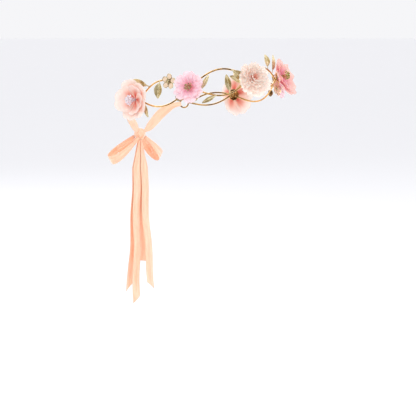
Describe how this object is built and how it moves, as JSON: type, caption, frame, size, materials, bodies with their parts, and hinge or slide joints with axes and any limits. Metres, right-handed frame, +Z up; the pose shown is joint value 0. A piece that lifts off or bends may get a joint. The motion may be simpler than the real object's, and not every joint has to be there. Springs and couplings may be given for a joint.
{
  "type": "flower crown",
  "caption": "Flower crown of wavy gold vine wires with chiffon flowers, pearl stamens, metal leaves and a satin ribbon bow whose tails hang behind the head",
  "frame": {"origin": "middle of the oval ring, where the crown sits on a head (mount head)", "axes": "+Z is up as worn, -Y is the wearer's front, -X is the wearer's right; the ring is tilted 12 degrees about X, front up"},
  "size_m": [0.19, 0.2289, 0.3023],
  "materials": {
    "gold_wire": "polished light gold",
    "leaf_gold": "polished champagne gold",
    "dark_gold": "antiqued gold filigree",
    "pearl_stamens": "pearl",
    "enamel": "beige enamel",
    "peach_chiffon": "sheer peach chiffon with a coral throat",
    "pink_chiffon": "sheer pink chiffon",
    "cream_pink_chiffon": "sheer cream and pink organza",
    "satin_ribbon": "peach satin"
  },
  "bodies": {
    "crown": {"bow_knot": "satin_ribbon", "front_blossom": "enamel", "front_broad_leaf": "leaf_gold", "front_narrow_leaf": "leaf_gold", "inner_vine_wire": "gold_wire", "left_bead_cap": "dark_gold", "left_end_leaf": "leaf_gold", "left_end_ring": "gold_wire", "left_front_flower_base": "gold_wire", "left_front_flower_inner_petals": "pink_chiffon", "left_front_flower_outer_petals": "pink_chiffon", "left_front_flower_stamens": "pearl_stamens", "left_hanging_leaf": "leaf_gold", "left_rear_flower_base": "gold_wire", "left_rear_flower_inner_petals": "peach_chiffon", "left_rear_flower_outer_petals": "peach_chiffon", "left_rear_flower_stamens": "pearl_stamens", "left_rear_upper_leaf": "leaf_gold", "left_side_blossom": "enamel", "left_side_flower_base": "gold_wire", "left_side_flower_inner_petals": "pink_chiffon", "left_side_flower_outer_petals": "pink_chiffon", "left_side_flower_stamens": "pearl_stamens", "left_tie": "satin_ribbon", "left_upright_leaf": "leaf_gold", "outer_vine_wire": "gold_wire", "right_bead_cap": "dark_gold", "right_end_leaf": "leaf_gold", "right_end_ring": "gold_wire", "right_front_flower_base": "gold_wire", "right_front_flower_inner_petals": "cream_pink_chiffon", "right_front_flower_outer_petals": "cream_pink_chiffon", "right_front_flower_stamens": "pearl_stamens", "right_front_inner_leaf": "leaf_gold", "right_hanging_leaf": "leaf_gold", "right_rear_flower_base": "gold_wire", "right_rear_flower_inner_petals": "peach_chiffon", "right_rear_flower_outer_petals": "peach_chiffon", "right_rear_flower_stamens": "pearl_stamens", "right_rear_lower_leaf": "leaf_gold", "right_rear_upper_leaf": "leaf_gold", "right_side_blossom": "enamel", "right_side_flower_base": "gold_wire", "right_side_flower_inner_petals": "pink_chiffon", "right_side_flower_outer_petals": "pink_chiffon", "right_side_flower_stamens": "pearl_stamens", "right_side_lower_leaf": "leaf_gold", "right_side_upper_leaf": "leaf_gold", "right_tie": "satin_ribbon", "right_upright_leaf": "leaf_gold"},
    "right_loops": {"right_outer_loop": "satin_ribbon", "right_inner_loop": "satin_ribbon"},
    "left_loops": {"left_outer_loop": "satin_ribbon", "left_inner_loop": "satin_ribbon"},
    "right_front_tail_body": {"right_front_tail": "satin_ribbon"},
    "right_rear_tail_body": {"right_rear_tail": "satin_ribbon"},
    "left_front_tail_body": {"left_front_tail": "satin_ribbon"},
    "left_rear_tail_body": {"left_rear_tail": "satin_ribbon"}
  },
  "joints": [
    {"name": "right_loops_lift", "type": "hinge", "parent": "crown", "child": "right_loops", "pos_m": [0, 0.10075, -0.05142], "axis": [0, 1, 0], "range_deg": [0, 25]},
    {"name": "left_loops_lift", "type": "hinge", "parent": "crown", "child": "left_loops", "pos_m": [0, 0.10075, -0.05142], "axis": [0, -1, 0], "range_deg": [0, 25]},
    {"name": "right_front_tail_swing", "type": "hinge", "parent": "crown", "child": "right_front_tail_body", "pos_m": [0, 0.10075, -0.05142], "axis": [1, 0, 0], "range_deg": [-8, 60]},
    {"name": "right_rear_tail_swing", "type": "hinge", "parent": "right_front_tail_body", "child": "right_rear_tail_body", "pos_m": [0, 0.10075, -0.05142], "axis": [1, 0, 0], "range_deg": [0, 30]},
    {"name": "left_front_tail_swing", "type": "hinge", "parent": "crown", "child": "left_front_tail_body", "pos_m": [0, 0.10075, -0.05142], "axis": [1, 0, 0], "range_deg": [-8, 60]},
    {"name": "left_rear_tail_swing", "type": "hinge", "parent": "left_front_tail_body", "child": "left_rear_tail_body", "pos_m": [0, 0.10075, -0.05142], "axis": [1, 0, 0], "range_deg": [0, 30]}
  ]
}
